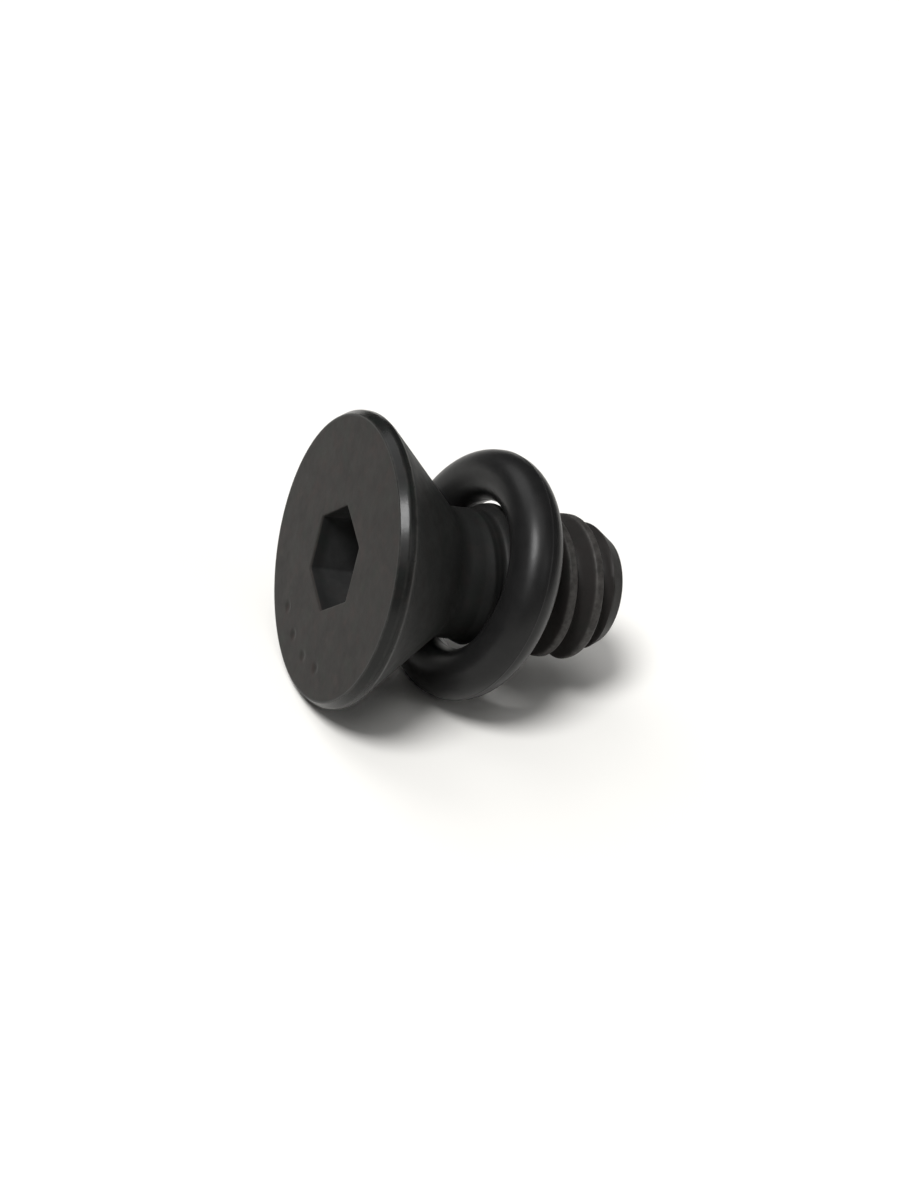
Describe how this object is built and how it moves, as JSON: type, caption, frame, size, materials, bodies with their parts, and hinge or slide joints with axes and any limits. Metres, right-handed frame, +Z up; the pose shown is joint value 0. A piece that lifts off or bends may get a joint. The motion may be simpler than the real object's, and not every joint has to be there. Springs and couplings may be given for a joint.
{
  "type": "flat head socket screw with sealing ring",
  "caption": "Black countersunk screw with a flat head, a hexagon socket and a coarse full thread, lying on its side, with a rubber sealing ring slipped over its shank.",
  "frame": {"origin": "middle of the footprint of the screw and its ring, on the surface that they lie on", "axes": "+Z up; +X the way the tip points, seen from above: the screw lies on its side, and its axis points along +X and 9 degrees down; +Y completes the right-handed frame"},
  "size_m": [0.0136, 0.0124, 0.0123],
  "materials": {
    "steel": "satin",
    "rubber": "matte"
  },
  "bodies": {
    "root": {"screw": "steel", "o_ring": "rubber"}
  },
  "joints": []
}
